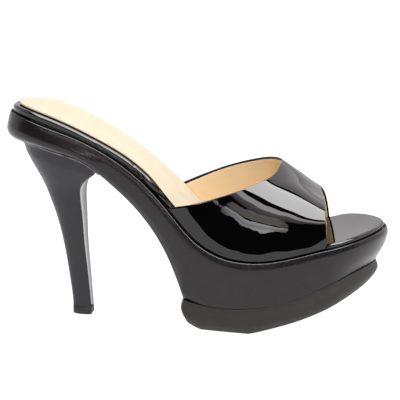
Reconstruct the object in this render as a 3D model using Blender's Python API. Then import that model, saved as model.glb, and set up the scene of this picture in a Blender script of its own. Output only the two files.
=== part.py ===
"""Backless platform mule with an open toe and a stiletto heel, the right shoe of a pair.

It stands on the plane z = 0 with its toe towards +X and its outer side towards -Y.
Sizes are in millimetres. A station is a distance forward from the back of the heel seat.
"""
from collections import namedtuple

import bmesh
import bpy
import numpy as np

for item in list(bpy.data.objects):
    bpy.data.objects.remove(item, do_unlink=True)


def table(columns, *rows):
    """Named columns of numbers, with a row for each section."""
    return dict(zip(columns.split(), np.array(rows, dtype=float).T))


# Driving dimensions
METRES_PER_MM = 0.001
SHOE_LENGTH = 223.1
SEAT_CLEARANCE = 0.3
GROOVE_DEPTH = 2.0
LIP_INNER = 1.0
FOOTBED_TUCK = 1.7
INSOLE_THICKNESS = 1.2
HEEL_CUP = 1.4
CUP_STARTS = (0.0, 30.0)
CUP_FADES = (70.0, 125.0)
UPPER_WALL = 1.8
UPPER_EDGE = 0.7
HEEL_TIP_HEIGHT = 4.5
BREAST_SIDE = 0.94
BREAST_CORNER = 0.88
SHARP_EDGE_ANGLE = np.radians(38.0)

# Mesh density
ROUND_STEPS = 10
MIDDLE_PITCH = 6.5
HEEL_RINGS = 16
HEEL_BACK_STEPS = 9
HEEL_SIDE_STEPS = 3
BREAST_STEPS = 4
UPPER_ACROSS = 36
UPPER_ALONG = 14
CAP_ACROSS = 4

# Plan of the footbed's edge: half width, and how far its middle swings to the inner side
PLAN = table(
    "station half_width middle",
    (0.0, 27.0, 0.0),
    (36.8, 27.0, 0.0),
    (60.0, 25.8, -0.9),
    (81.0, 24.0, -1.5),
    (97.0, 25.9, -1.4),
    (114.0, 31.0, -0.9),
    (134.0, 36.0, -0.3),
    (154.0, 39.2, 0.0),
    (174.0, 40.6, 0.2),
    (194.0, 39.4, 1.0),
    (223.0, 38.0, 3.2),
)

# Where each plan starts and ends, how its ends round off, and how far it sits inside the edge
Plan = namedtuple("Plan", "back back_round back_power front front_round front_power inset")
FOOTBED_PLAN = Plan(3.8, 33.0, 2.0, 221.0, 29.0, 1.65, 0.0)
INSOLE_PLAN = Plan(7.7, 29.0, 2.0, 176.0, 18.0, 2.0, 3.9)
OUTSOLE_PLAN = Plan(104.2, 12.0, 3.0, 218.4, 27.0, 1.7, 2.2)

# Side profile: footbed rim and platform lip
PROFILE = table(
    "station rim lip",
    (0.0, 126.4, 122.5),
    (8.0, 126.5, 122.2),
    (20.0, 124.6, 119.3),
    (35.0, 120.0, 114.6),
    (50.0, 113.3, 108.8),
    (65.0, 105.4, 100.6),
    (80.0, 95.3, 89.5),
    (92.0, 84.4, 78.3),
    (100.0, 75.7, 69.6),
    (107.0, 67.6, 61.8),
    (113.0, 61.0, 55.8),
    (121.0, 54.2, 50.1),
    (131.0, 49.4, 45.8),
    (143.0, 47.2, 43.9),
    (156.0, 47.6, 44.5),
    (172.0, 51.0, 48.0),
    (190.0, 55.6, 52.8),
    (206.0, 58.8, 56.1),
    (223.0, 61.5, 58.8),
)

# Underside of the heel seat and waist, down to the back of the outsole
WAIST = table(
    "station under",
    (0.0, 106.0),
    (8.0, 105.8),
    (20.0, 104.8),
    (35.0, 101.3),
    (50.0, 95.8),
    (65.0, 83.3),
    (80.0, 68.1),
    (92.0, 52.0),
    (100.0, 36.9),
    (107.0, 19.0),
    (112.0, 5.0),
)

# Outsole: its top under the platform, and its tread, which is cut flat at the floor
SOLE = table(
    "station top tread",
    (104.0, 18.4, 8.5),
    (108.0, 17.5, 4.8),
    (112.0, 16.5, 2.2),
    (118.0, 15.6, 0.0),
    (132.0, 14.7, -1.0),
    (146.0, 15.6, 0.0),
    (152.0, 16.5, 1.6),
    (160.0, 18.1, 4.2),
    (170.0, 21.1, 7.6),
    (185.0, 27.5, 13.7),
    (196.0, 32.8, 19.0),
    (206.0, 36.4, 23.8),
    (214.0, 38.1, 27.6),
    (223.0, 39.3, 32.0),
)

# Platform wall: how far it stands out at shares of the way down from lip to underside
PLATFORM_LIP = table(
    "out below",
    (LIP_INNER, GROOVE_DEPTH),
    (LIP_INNER, 0.4),
    (1.5, 0.0),
    (1.9, 0.3),
)
PLATFORM_WALL = table(
    "share heel waist forefoot",
    (0.06, 2.1, 2.1, 2.1),
    (0.15, 3.3, 2.6, 2.0),
    (0.31, 3.8, 2.6, 1.4),
    (0.51, 3.5, 2.0, 0.2),
    (0.71, 2.7, 0.8, -1.3),
    (0.88, 0.5, -1.3, -2.8),
    (0.97, -2.0, -3.8, -3.9),
    (1.00, -3.6, -6.0, -4.4),
)
HEEL_TO_WAIST = (45.0, 75.0)
WAIST_TO_FOREFOOT = (92.0, 124.0)

# Outsole wall, from its top edge down to the tread
OUTSOLE_WALL = table(
    "share out",
    (0.00, -1.6),
    (0.06, -0.5),
    (0.20, 0.0),
    (0.45, -0.1),
    (0.70, -1.1),
    (0.88, -2.6),
    (0.97, -3.9),
    (1.00, -4.9),
)

# Footbed edge: in from the outline, and down from the rim
FOOTBED_EDGE = table(
    "out below",
    (0.0, 1.4),
    (-0.35, 0.5),
    (-1.1, 0.1),
    (-2.2, 0.0),
)
FOOTBED_FOOT = table("out above", (-0.7, 0.0), (0.0, 0.8))
VAMP_COVER = table("station tucked", (88.0, 0.0), (94.0, 1.0), (191.0, 1.0), (197.0, 0.0))

# Insole edge: in from its outline, and up from its underside
INSOLE_EDGE = table("out above", (-0.2, 0.0), (0.0, 0.3), (0.0, 0.8), (-0.4, INSOLE_THICKNESS))

# Heel, from the tip up to the seat: back and front of each section and their heights
HEEL = table(
    "level back back_z front front_z half hollow",
    (0, 37.3, 4.8, 49.1, 4.8, 4.2, 0.6),
    (1, 37.0, 11.0, 48.6, 11.0, 4.4, 0.7),
    (2, 34.9, 27.0, 47.3, 27.0, 5.3, 0.9),
    (3, 31.9, 45.0, 45.8, 45.0, 6.9, 1.2),
    (4, 28.2, 60.0, 45.1, 60.0, 8.7, 1.6),
    (5, 24.8, 70.0, 44.5, 69.0, 10.4, 2.0),
    (6, 21.8, 78.0, 44.5, 75.5, 12.4, 2.3),
    (7, 18.1, 85.5, 46.1, 80.4, 15.4, 2.4),
    (8, 13.9, 93.0, 50.4, 84.8, 18.8, 2.0),
    (9, 10.7, 99.5, 54.9, 88.3, 21.6, 1.2),
    (10, 8.0, 105.3, 58.0, 90.8, 23.2, 0.6),
)
HEEL_WIDEST = 0.68
HEEL_TIP_EDGE = table("out height", (-0.5, 0.0), (0.0, 0.6), (0.0, HEEL_TIP_HEIGHT))

# Upper: height of its ridge, how far it leans to the inner side, and how full and square its sides are
RIDGE = table(
    "station height lean fullness shoulder",
    (92.0, 138.0, 4.9, 0.201, 0.018),
    (110.0, 128.1, 4.9, 0.090, -0.020),
    (130.0, 115.4, 4.9, 0.015, -0.029),
    (150.0, 102.3, 4.9, -0.010, -0.004),
    (162.0, 94.6, 3.6, -0.001, 0.028),
    (174.0, 86.0, 2.3, 0.027, 0.072),
    (186.0, 77.4, 1.0, 0.073, 0.128),
    (196.0, 74.0, 0.0, 0.125, 0.185),
)

# Upper: stations of its throat and toe edges, across from the outer over the ridge to the inner side
VAMP = table(
    "across throat toe",
    (-1.00, 96.8, 190.9),
    (-0.88, 105.8, 191.0),
    (-0.76, 116.2, 190.7),
    (-0.64, 129.6, 190.3),
    (-0.52, 144.2, 189.8),
    (-0.40, 154.0, 189.1),
    (-0.28, 158.8, 188.2),
    (-0.14, 161.2, 186.7),
    (0.00, 161.4, 184.9),
    (0.14, 159.9, 183.4),
    (0.28, 154.1, 183.2),
    (0.40, 146.3, 183.6),
    (0.52, 135.7, 184.5),
    (0.64, 123.5, 185.3),
    (0.76, 112.1, 186.0),
    (0.88, 102.7, 186.6),
    (1.00, 94.2, 187.3),
)


def along(rows, column, at):
    """Value of a table's column on a natural cubic through its rows, read by the first column."""
    x = next(iter(rows.values()))
    y = rows[column]
    width = np.diff(x)
    pitch = np.diff(y) / width
    matrix = np.eye(len(x))
    bend = np.zeros(len(x))
    for k in range(1, len(x) - 1):
        matrix[k, k - 1:k + 2] = width[k - 1], 2.0 * (width[k - 1] + width[k]), width[k]
        bend[k] = 6.0 * (pitch[k] - pitch[k - 1])
    bend = np.linalg.solve(matrix, bend)
    at = np.clip(at, x[0], x[-1])
    k = np.clip(np.searchsorted(x, at) - 1, 0, len(x) - 2)
    after = (at - x[k]) / width[k]
    before = 1.0 - after
    arc = (before ** 3 - before) * bend[k] + (after ** 3 - after) * bend[k + 1]
    return before * y[k] + after * y[k + 1] + arc * width[k] ** 2 / 6.0


def ramp(limits, at):
    """Zero before the first limit, one after the second, and smooth between."""
    share = np.clip((at - limits[0]) / (limits[1] - limits[0]), 0.0, 1.0)
    return share * share * (3.0 - 2.0 * share)


# Heights by station

def rim(station):
    return along(PROFILE, "rim", station)


def lip(station):
    return along(PROFILE, "lip", station)


def ledge(station):
    """Bottom of the groove, which carries the footbed and the lower edge of the upper."""
    return lip(station) - GROOVE_DEPTH


def sole_top(station):
    return along(SOLE, "top", station)


def tread(station):
    return np.maximum(along(SOLE, "tread", station), 0.0)


def underside(station):
    """Underside of the platform: the waist runs down until it meets the outsole."""
    return np.maximum(along(WAIST, "under", station), sole_top(station) + SEAT_CLEARANCE)


# Plan outlines

def round_off(plan, station):
    """One along the middle of a plan, falling to zero at its two round ends."""
    behind = np.clip((plan.back + plan.back_round - station) / plan.back_round, 0.0, 1.0)
    ahead = np.clip((station - plan.front + plan.front_round) / plan.front_round, 0.0, 1.0)
    back = (1.0 - behind ** plan.back_power) ** (1.0 / plan.back_power)
    front = (1.0 - ahead ** plan.front_power) ** (1.0 / plan.front_power)
    return back * front


def edge(plan, station, side):
    """Sideways place of a plan's edge; side is -1 on the outer side and +1 on the inner side."""
    half = (along(PLAN, "half_width", station) - plan.inset) * round_off(plan, station)
    return along(PLAN, "middle", station) + side * half


def plan_stations(plan):
    """Stations from end to end, closer together where the ends turn."""
    turn = 1.0 - np.cos(np.linspace(0.0, np.pi / 2.0, ROUND_STEPS + 1))
    back = plan.back + plan.back_round * turn
    front = plan.front - plan.front_round * turn[::-1]
    steps = round((front[0] - back[-1]) / MIDDLE_PITCH)
    middle = np.linspace(back[-1], front[0], steps + 1)
    return np.concatenate([back, middle[1:-1], front])


def plan_loop(plan):
    """Closed loop of points: back, outer side, front, inner side."""
    station = plan_stations(plan)
    outer = np.column_stack([station, edge(plan, station, -1.0)])
    inner = np.column_stack([station, edge(plan, station, 1.0)])
    return np.concatenate([outer, inner[-2:0:-1]])


def pushed_out(loop, out):
    """The loop moved out along its normals; out is a distance or a function of the station."""
    ahead = np.roll(loop, -1, axis=0) - np.roll(loop, 1, axis=0)
    ahead = ahead / np.linalg.norm(ahead, axis=1)[:, None]
    normal = np.column_stack([ahead[:, 1], -ahead[:, 0]])
    distance = out(loop[:, 0]) if callable(out) else np.full(len(loop), out)
    return loop + normal * distance[:, None]


def lifted(loop, height):
    """Points in space over a plan loop; height is a number or a function of the station."""
    z = height(loop[:, 0]) if callable(height) else np.full(len(loop), height)
    return np.column_stack([loop, z])


# Solids

def middle_of_sides():
    """Sideways middle of the whole shoe, which the origin is set to."""
    wall = pushed_out(plan_loop(FOOTBED_PLAN), PLATFORM_WALL["forefoot"].max())
    return 0.5 * (wall[:, 1].min() + wall[:, 1].max())


ORIGIN = np.array([SHOE_LENGTH / 2.0, middle_of_sides(), 0.0])


def material(name, colour, roughness):
    made = bpy.data.materials.new(name)
    made.use_nodes = True
    shader = made.node_tree.nodes["Principled BSDF"]
    shader.inputs["Base Color"].default_value = (*colour, 1.0)
    shader.inputs["Roughness"].default_value = roughness
    shader.inputs["Metallic"].default_value = 0.0
    return made


def add_vertices(mesh, points):
    return [mesh.verts.new((point - ORIGIN) * METRES_PER_MM) for point in points]


def finish(name, mesh, finish_material):
    """Turn a closed bmesh into a smooth-shaded object."""
    bmesh.ops.recalc_face_normals(mesh, faces=mesh.faces)
    data = bpy.data.meshes.new(name)
    mesh.to_mesh(data)
    mesh.free()
    data.shade_smooth()
    data.set_sharp_from_angle(angle=SHARP_EDGE_ANGLE)
    data.materials.append(finish_material)
    made = bpy.data.objects.new(name, data)
    bpy.context.collection.objects.link(made)
    return made


def close_loop(mesh, loop, rungs, dish):
    """Close a loop with rungs from side to side, sunk in the middle by dish of the station."""
    count = len(loop)
    across = CAP_ACROSS if dish else 1
    ladder = []
    for k in range(1, rungs + 1):
        start, end = loop[k], loop[count - k]
        rung = [start]
        for step in range(1, across):
            share = step / across
            place = start.co.lerp(end.co, share)
            if dish:
                station = place.x / METRES_PER_MM + ORIGIN[0]
                place.z -= dish(station) * (1.0 - (2.0 * share - 1.0) ** 2) * METRES_PER_MM
            rung.append(mesh.verts.new(place))
        ladder.append(rung + [end])
    for near, far in zip(ladder, ladder[1:]):
        for k in range(across):
            mesh.faces.new((near[k], near[k + 1], far[k + 1], far[k]))
    mesh.faces.new([loop[0]] + ladder[0])
    mesh.faces.new(ladder[-1] + loop[count - rungs - 1:rungs:-1])


def ring_solid(name, rings, finish_material, rungs=None, bottom_dish=None, top_dish=None):
    """Solid through a stack of rings, closed at both ends."""
    mesh = bmesh.new()
    loops = [add_vertices(mesh, ring) for ring in rings]
    count = len(loops[0])
    for lower, upper in zip(loops, loops[1:]):
        for k in range(count):
            after = (k + 1) % count
            mesh.faces.new((lower[k], lower[after], upper[after], upper[k]))
    rungs = rungs or count // 2 - 1
    close_loop(mesh, loops[0], rungs, bottom_dish)
    close_loop(mesh, loops[-1], rungs, top_dish)
    return finish(name, mesh, finish_material)


def platform():
    loop = plan_loop(FOOTBED_PLAN)
    rings = []
    for out, below in zip(*PLATFORM_LIP.values()):
        rings.append(lifted(pushed_out(loop, out), lambda station: lip(station) - below))
    for share, heel, waist, forefoot in zip(*PLATFORM_WALL.values()):
        def out(station):
            back = heel + (waist - heel) * ramp(HEEL_TO_WAIST, station)
            return back + (forefoot - back) * ramp(WAIST_TO_FOREFOOT, station)

        def height(station):
            return lip(station) + share * (underside(station) - lip(station))

        rings.append(lifted(pushed_out(loop, out), height))
    return ring_solid("platform", rings, material("platform_leather", (0.020, 0.018, 0.019), 0.55))


def outsole():
    loop = plan_loop(OUTSOLE_PLAN)
    rings = []
    for share, out in zip(*OUTSOLE_WALL.values()):
        def height(station):
            return sole_top(station) + share * (tread(station) - sole_top(station))

        rings.append(lifted(pushed_out(loop, out), height))
    return ring_solid("outsole", rings, material("sole_rubber", (0.022, 0.020, 0.020), 0.6))


def heel_cup(station):
    """How far the footbed is dished in its middle, from the heel to the ball."""
    return HEEL_CUP * ramp(CUP_STARTS, station) * (1.0 - ramp(CUP_FADES, station))


def footbed():
    loop = plan_loop(FOOTBED_PLAN)
    tuck_at, tuck = VAMP_COVER["station"], VAMP_COVER["tucked"]

    def row(out, height):
        def drawn_in(station):
            return out - FOOTBED_TUCK * np.interp(station, tuck_at, tuck)

        return lifted(pushed_out(loop, drawn_in), height)

    rings = []
    for out, above in zip(*FOOTBED_FOOT.values()):
        rings.append(row(out, lambda station: ledge(station) + SEAT_CLEARANCE + above))
    for out, below in zip(*FOOTBED_EDGE.values()):
        rings.append(row(out, lambda station: rim(station) - below))
    patent = material("footbed_patent", (0.010, 0.009, 0.010), 0.12)
    return ring_solid("footbed", rings, patent, top_dish=heel_cup)


def insole():
    loop = plan_loop(INSOLE_PLAN)
    rings = []
    for out, above in zip(*INSOLE_EDGE.values()):
        rings.append(lifted(pushed_out(loop, out), lambda station: rim(station) + SEAT_CLEARANCE + above))
    nude = material("insole_leather", (0.86, 0.72, 0.52), 0.5)
    return ring_solid("insole", rings, nude, bottom_dish=heel_cup, top_dish=heel_cup)


def heel_plan(level):
    """Closed plan loop of the heel at a level of its table, round behind and hollow in front."""
    back, front, half, hollow = (along(HEEL, name, level) for name in ("back", "front", "half", "hollow"))
    widest = back + HEEL_WIDEST * (front - back)
    turn = np.linspace(0.0, np.pi / 2.0, HEEL_BACK_STEPS + 1)
    behind = np.column_stack([widest - (widest - back) * np.cos(turn), half * np.sin(turn)])
    share = np.linspace(0.0, 1.0, HEEL_SIDE_STEPS + 1)[1:]
    reach = front - hollow - widest
    ahead = np.column_stack([widest + reach * share, half * (1.0 - (1.0 - BREAST_SIDE) * share ** 2)])
    corner = np.array([[front, half * BREAST_CORNER]])
    inward = np.linspace(1.0, 0.0, BREAST_STEPS + 1)[1:]
    breast = np.column_stack([front - hollow * (1.0 - inward ** 2), corner[0, 1] * inward])
    side = np.concatenate([behind, ahead, corner, breast])
    outer = side * np.array([1.0, -1.0])
    return np.concatenate([outer, side[-2:0:-1]])


HEEL_RUNGS = HEEL_BACK_STEPS + HEEL_SIDE_STEPS


def heel():
    top_level = HEEL["level"][-1]
    rings = []
    for level in np.linspace(0.0, top_level, HEEL_RINGS):
        back, back_z, front, front_z = (along(HEEL, name, level) for name in
                                        ("back", "back_z", "front", "front_z"))

        def height(station):
            if level == top_level:
                return underside(station) - SEAT_CLEARANCE
            return back_z + (front_z - back_z) * (station - back) / (front - back)

        rings.append(lifted(heel_plan(level), height))
    satin = material("heel_satin", (0.022, 0.021, 0.023), 0.35)
    return ring_solid("heel", rings, satin, rungs=HEEL_RUNGS)


def heel_tip():
    loop = heel_plan(0.0)
    rings = [lifted(pushed_out(loop, out), height) for out, height in zip(*HEEL_TIP_EDGE.values())]
    return ring_solid("heel_tip", rings, material("tip_rubber", (0.012, 0.012, 0.012), 0.6), rungs=HEEL_RUNGS)


def vamp_section(station, across):
    """Point of the outer skin; across is -1 at the outer lower edge, 0 on the ridge and +1 inside."""
    base = ledge(station) + SEAT_CLEARANCE
    outer = edge(FOOTBED_PLAN, station, -1.0) - UPPER_EDGE
    inner = edge(FOOTBED_PLAN, station, 1.0) + UPPER_EDGE
    turn = across * np.pi / 2.0
    fullness = along(RIDGE, "fullness", station)
    shoulder = along(RIDGE, "shoulder", station) * (1.0 - across) / 2.0
    swing = (1.0 + fullness) * np.sin(turn) + fullness * np.sin(3.0 * turn)
    lift = (1.0 + shoulder) * np.cos(turn) - shoulder * np.cos(3.0 * turn)
    sideways = (outer + inner) / 2.0 + swing * (inner - outer) / 2.0
    sideways = sideways + along(RIDGE, "lean", station) * np.cos(turn) ** 2
    z = base + (along(RIDGE, "height", station) - base) * lift
    return np.stack([station, sideways, z], axis=-1)


def vamp_point(across, share):
    """Outer skin by across and by share of the way from the throat edge to the toe edge."""
    throat = along(VAMP, "throat", across)
    return vamp_section(throat + (along(VAMP, "toe", across) - throat) * share, across)


def upper():
    """Vamp with a real wall, open at the throat, at the toe and underneath."""
    across, share = np.meshgrid(np.linspace(-1.0, 1.0, UPPER_ACROSS + 1),
                                np.linspace(0.0, 1.0, UPPER_ALONG + 1), indexing="ij")
    outside = vamp_point(across, share)
    over = np.gradient(outside, axis=0)
    forward = np.gradient(outside, axis=1)
    normal = np.cross(forward, over)
    normal /= np.linalg.norm(normal, axis=-1)[..., None]
    inside = outside - UPPER_WALL * normal
    mesh = bmesh.new()
    skins = [[add_vertices(mesh, row) for row in skin] for skin in (outside, inside)]
    for skin in skins:
        for row, after in zip(skin, skin[1:]):
            for k in range(UPPER_ALONG):
                mesh.faces.new((row[k], row[k + 1], after[k + 1], after[k]))
    outer, inner = skins
    borders = [(outer[0], inner[0]), (outer[-1], inner[-1])]
    borders += [([row[k] for row in outer], [row[k] for row in inner]) for k in (0, -1)]
    for out_edge, in_edge in borders:
        for k in range(len(out_edge) - 1):
            mesh.faces.new((out_edge[k], out_edge[k + 1], in_edge[k + 1], in_edge[k]))
    return finish("upper", mesh, material("upper_patent", (0.008, 0.007, 0.009), 0.06))


platform()
outsole()
heel()
heel_tip()
footbed()
insole()
upper()
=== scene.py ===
"""Looks of a backless platform mule with a stiletto heel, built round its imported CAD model.

Sizes are in millimetres until a piece is made, and in metres for the studio. A station is a
distance forward from the back of the heel seat. The tables of the form are the part's own, with
finer edges and with curves that differ from it by two millimetres or so.
"""
from collections import namedtuple

import bmesh
import bpy
import numpy as np
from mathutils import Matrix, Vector

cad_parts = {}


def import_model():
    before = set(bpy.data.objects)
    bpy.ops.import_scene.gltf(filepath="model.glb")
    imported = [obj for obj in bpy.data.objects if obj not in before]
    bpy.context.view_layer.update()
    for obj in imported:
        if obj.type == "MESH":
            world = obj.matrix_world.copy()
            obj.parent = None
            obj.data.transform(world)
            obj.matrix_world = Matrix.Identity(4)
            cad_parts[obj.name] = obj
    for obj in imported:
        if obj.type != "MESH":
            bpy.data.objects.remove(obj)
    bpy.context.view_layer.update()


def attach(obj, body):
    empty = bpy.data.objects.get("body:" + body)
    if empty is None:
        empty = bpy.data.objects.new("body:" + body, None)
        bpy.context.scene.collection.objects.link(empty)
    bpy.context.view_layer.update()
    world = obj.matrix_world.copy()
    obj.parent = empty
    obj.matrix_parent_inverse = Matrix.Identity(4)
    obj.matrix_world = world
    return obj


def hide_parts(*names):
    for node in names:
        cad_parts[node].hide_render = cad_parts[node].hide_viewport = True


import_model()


def table(columns, *rows):
    """Named columns of numbers, with a row for each section."""
    return dict(zip(columns.split(), np.array(rows, dtype=float).T))


# Driving dimensions, as in the part
METRES_PER_MM = 0.001
SHOE_LENGTH = 223.1
SEAT_CLEARANCE = 0.3
GROOVE_DEPTH = 2.0
LIP_INNER = 1.0
FOOTBED_TUCK = 1.7
INSOLE_THICKNESS = 1.2
HEEL_CUP = 1.4
CUP_STARTS = (0.0, 30.0)
CUP_FADES = (70.0, 125.0)
UPPER_WALL = 1.8
UPPER_EDGE = 0.7
HEEL_TIP_HEIGHT = 4.5
BREAST_SIDE = 0.94
BREAST_CORNER = 0.88
HEEL_WIDEST = 0.68

# Shallow dish of the footbed in the open toe
TOE_DISH = 0.5
DISH_STARTS = (165.0, 190.0)
DISH_FADES = (202.0, 220.0)

# Plan of the footbed's edge: half width, and how far its middle swings to the inner side
PLAN = table(
    "station half_width middle",
    (0.0, 27.0, 0.0),
    (36.8, 27.0, 0.0),
    (60.0, 25.8, -0.9),
    (81.0, 24.0, -1.5),
    (97.0, 25.9, -1.4),
    (114.0, 31.0, -0.9),
    (134.0, 36.0, -0.3),
    (154.0, 39.2, 0.0),
    (174.0, 40.6, 0.2),
    (194.0, 39.4, 1.0),
    (223.0, 38.0, 3.2),
)

# Where each plan starts and ends, how its ends round off, and how far it sits inside the edge
Plan = namedtuple("Plan", "back back_round back_power front front_round front_power inset")
FOOTBED_PLAN = Plan(3.8, 33.0, 2.0, 221.0, 29.0, 1.65, 0.0)
INSOLE_PLAN = Plan(7.7, 29.0, 2.0, 176.0, 18.0, 2.0, 3.9)
OUTSOLE_PLAN = Plan(105.0, 4.0, 3.5, 217.9, 27.0, 1.7, 2.2)

# Side profile: footbed rim and platform lip
PROFILE = table(
    "station rim lip",
    (0.0, 126.4, 122.5),
    (8.0, 126.5, 122.2),
    (20.0, 124.6, 119.3),
    (35.0, 120.0, 114.6),
    (50.0, 113.3, 108.8),
    (65.0, 105.4, 100.6),
    (80.0, 95.3, 89.5),
    (92.0, 84.4, 78.3),
    (100.0, 75.7, 69.6),
    (107.0, 67.6, 61.8),
    (113.0, 61.0, 55.8),
    (121.0, 54.2, 50.1),
    (131.0, 49.4, 45.8),
    (143.0, 47.2, 43.9),
    (156.0, 47.6, 44.5),
    (172.0, 51.0, 48.0),
    (190.0, 55.6, 52.8),
    (206.0, 58.8, 56.1),
    (223.0, 61.5, 58.8),
)

# Underside of the heel seat and waist, down to the back of the outsole
WAIST = table(
    "station under",
    (0.0, 106.0),
    (8.0, 105.8),
    (20.0, 104.8),
    (35.0, 101.3),
    (50.0, 95.8),
    (65.0, 83.3),
    (80.0, 68.1),
    (92.0, 52.0),
    (100.0, 36.9),
    (107.0, 19.0),
    (112.0, 5.0),
)

# Outsole: its top under the platform, and its tread, which is cut flat at the floor
SOLE = table(
    "station top tread",
    (104.0, 18.4, 8.5),
    (108.0, 17.5, 4.8),
    (112.0, 16.5, 2.2),
    (118.0, 15.6, 0.0),
    (132.0, 14.7, -1.0),
    (146.0, 15.6, 0.0),
    (152.0, 16.5, 1.6),
    (160.0, 18.1, 4.2),
    (170.0, 21.1, 7.6),
    (185.0, 27.5, 13.7),
    (196.0, 32.8, 19.0),
    (206.0, 36.4, 23.8),
    (214.0, 38.1, 27.6),
    (223.0, 39.3, 32.0),
)

# Platform wall: its rounded lip, then how far it stands out at shares of the way down
PLATFORM_LIP = table(
    "out below",
    (LIP_INNER, GROOVE_DEPTH),
    (LIP_INNER, 1.1),
    (LIP_INNER, 0.4),
    (1.04, 0.15),
    (1.14, 0.03),
    (1.28, 0.0),
    (1.44, 0.04),
    (1.58, 0.14),
    (1.70, 0.27),
    (1.78, 0.42),
    (1.83, 0.6),
    (1.86, 0.85),
)
PLATFORM_WALL = table(
    "share heel waist forefoot",
    (0.06, 2.1, 2.1, 2.1),
    (0.15, 2.5, 2.5, 2.4),
    (0.31, 3.1, 2.6, 2.0),
    (0.51, 3.8, 2.0, 0.8),
    (0.71, 3.6, 0.8, -0.8),
    (0.88, 1.6, -1.3, -2.3),
    (0.97, -1.6, -3.8, -3.2),
    (1.00, -3.6, -6.0, -3.6),
)
HEEL_TO_WAIST = (45.0, 75.0)
WAIST_TO_FOREFOOT = (92.0, 124.0)

# How far the platform's foot draws in at the toe
TOE_DRAW = 0.9
DRAW_STATIONS = (196.0, 216.0)
DRAW_SHARES = (0.55, 1.0)

# How far the lip is set back from the wall, and over what height below it the wall comes out
LIP_SETBACK = 0.22
SETBACK_BELOW = (0.6, 3.4)

# Outsole wall, from its top edge down to the tread
OUTSOLE_WALL = table(
    "share out",
    (0.00, -1.35),
    (0.05, -1.15),
    (0.15, -0.85),
    (0.30, -0.35),
    (0.45, 0.0),
    (0.58, -0.1),
    (0.75, -1.0),
    (0.88, -2.4),
    (0.97, -3.9),
    (1.00, -4.9),
)

# The seam under the platform is open at the back and closed at the toe
SEAM_RISE = 0.25
SEAM_CLOSES = (130.0, 165.0)

# Grooves across the tread: depth, spacing, bow, how their edges rise and how late they fade out
TREAD_DEPTH = 0.8
TREAD_PITCH = 6.5
TREAD_BOW = 150.0
TREAD_EDGE = (0.35, 0.75)
TREAD_FADE = 8

# Footbed edge: in from the outline, and down from the rim
FOOTBED_EDGE = table(
    "out below",
    (0.0, 1.5),
    (-0.04, 1.25),
    (-0.16, 1.02),
    (-0.34, 0.8),
    (-0.6, 0.54),
    (-0.86, 0.3),
    (-1.1, 0.13),
    (-1.4, 0.03),
    (-1.9, 0.0),
)

# The footbed's undercut foot: share of the way up to that edge, and how far out it is
FOOTBED_FOOT = table(
    "share out",
    (0.0, -0.9),
    (0.3, -0.85),
    (0.42, -0.5),
    (0.52, -0.15),
    (0.6, 0.0),
    (1.0, 0.0),
)

# Size of the edge in the open toe against the rest of it, and where that changes
TOE_EDGE = 0.8
TOE_EDGE_STATIONS = (186.0, 198.0)

# Where the vamp covers the footbed's edge, which is tucked in to make room
VAMP_COVER = table("station tucked", (88.0, 0.0), (94.0, 1.0), (191.0, 1.0), (197.0, 0.0))

# Insole edge: in from its outline, and up from its underside
INSOLE_EDGE = table(
    "out above",
    (-0.2, 0.0),
    (0.0, 0.25),
    (0.0, 0.75),
    (-0.12, 1.0),
    (-0.4, 1.15),
    (-0.9, INSOLE_THICKNESS),
)

# How much wider the insole is under the vamp, and where that starts and ends
INSOLE_REACH = 2.2
INSOLE_WIDENS = (86.0, 98.0)
INSOLE_NARROWS = (150.0, 170.0)

# Heel from the tip up: back and front of each section, their heights, half width and hollow
HEEL = table(
    "level back back_z front front_z half hollow",
    (0, 37.3, 4.8, 49.1, 4.8, 4.2, 0.6),
    (1, 37.0, 11.0, 48.6, 11.0, 4.4, 0.7),
    (2, 34.9, 27.0, 47.3, 27.0, 5.3, 0.9),
    (3, 31.9, 45.0, 45.8, 45.0, 6.9, 1.2),
    (4, 28.2, 60.0, 45.1, 60.0, 8.7, 1.6),
    (5, 24.8, 70.0, 44.5, 69.0, 10.4, 2.0),
    (6, 21.8, 78.0, 44.5, 75.5, 12.4, 2.3),
    (7, 18.1, 85.5, 46.1, 80.4, 15.4, 2.4),
    (8, 13.9, 93.0, 50.4, 84.8, 18.8, 2.0),
    (9, 10.7, 99.5, 54.9, 88.3, 21.6, 1.2),
    (10, 8.0, 105.3, 58.0, 90.8, 23.2, 0.6),
)

# Levels over which the heel's sections bend up to its seat
HEEL_SEATS = (8.8, 10.0)

# Bead along the seam of the seat, and how far under the seat its pale painted highlight starts
HEEL_BEAD = table(
    "out below",
    (0.0, 1.0),
    (0.22, 0.85),
    (0.38, 0.6),
    (0.42, 0.4),
    (0.36, 0.2),
    (0.2, 0.05),
    (0.0, 0.0),
)
SEAM_HIGHLIGHT_STARTS = 0.02

# Share of the hollow that the cover keeps, and how squarely a face of the glossy breast looks ahead
BREAST_HOLLOW = 0.5
BREAST_FACING = 0.7

# Edge of the top lift, from the floor up
HEEL_TIP_EDGE = table(
    "out height",
    (-0.5, 0.0),
    (-0.15, 0.15),
    (0.0, 0.6),
    (0.0, 2.5),
    (0.0, HEEL_TIP_HEIGHT - 0.3),
    (-0.25, HEEL_TIP_HEIGHT),
)

# Upper: height of its ridge, its lean to the inner side, and how full and square its sides are
RIDGE = table(
    "station height lean fullness shoulder",
    (92.0, 138.0, 4.9, 0.201, 0.018),
    (110.0, 128.1, 4.9, 0.090, -0.020),
    (130.0, 115.4, 4.9, 0.015, -0.029),
    (150.0, 102.3, 4.9, -0.010, -0.004),
    (162.0, 94.6, 3.6, -0.001, 0.028),
    (174.0, 86.0, 2.3, 0.027, 0.072),
    (186.0, 77.4, 1.0, 0.073, 0.128),
    (196.0, 74.0, 0.0, 0.125, 0.185),
)

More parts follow.
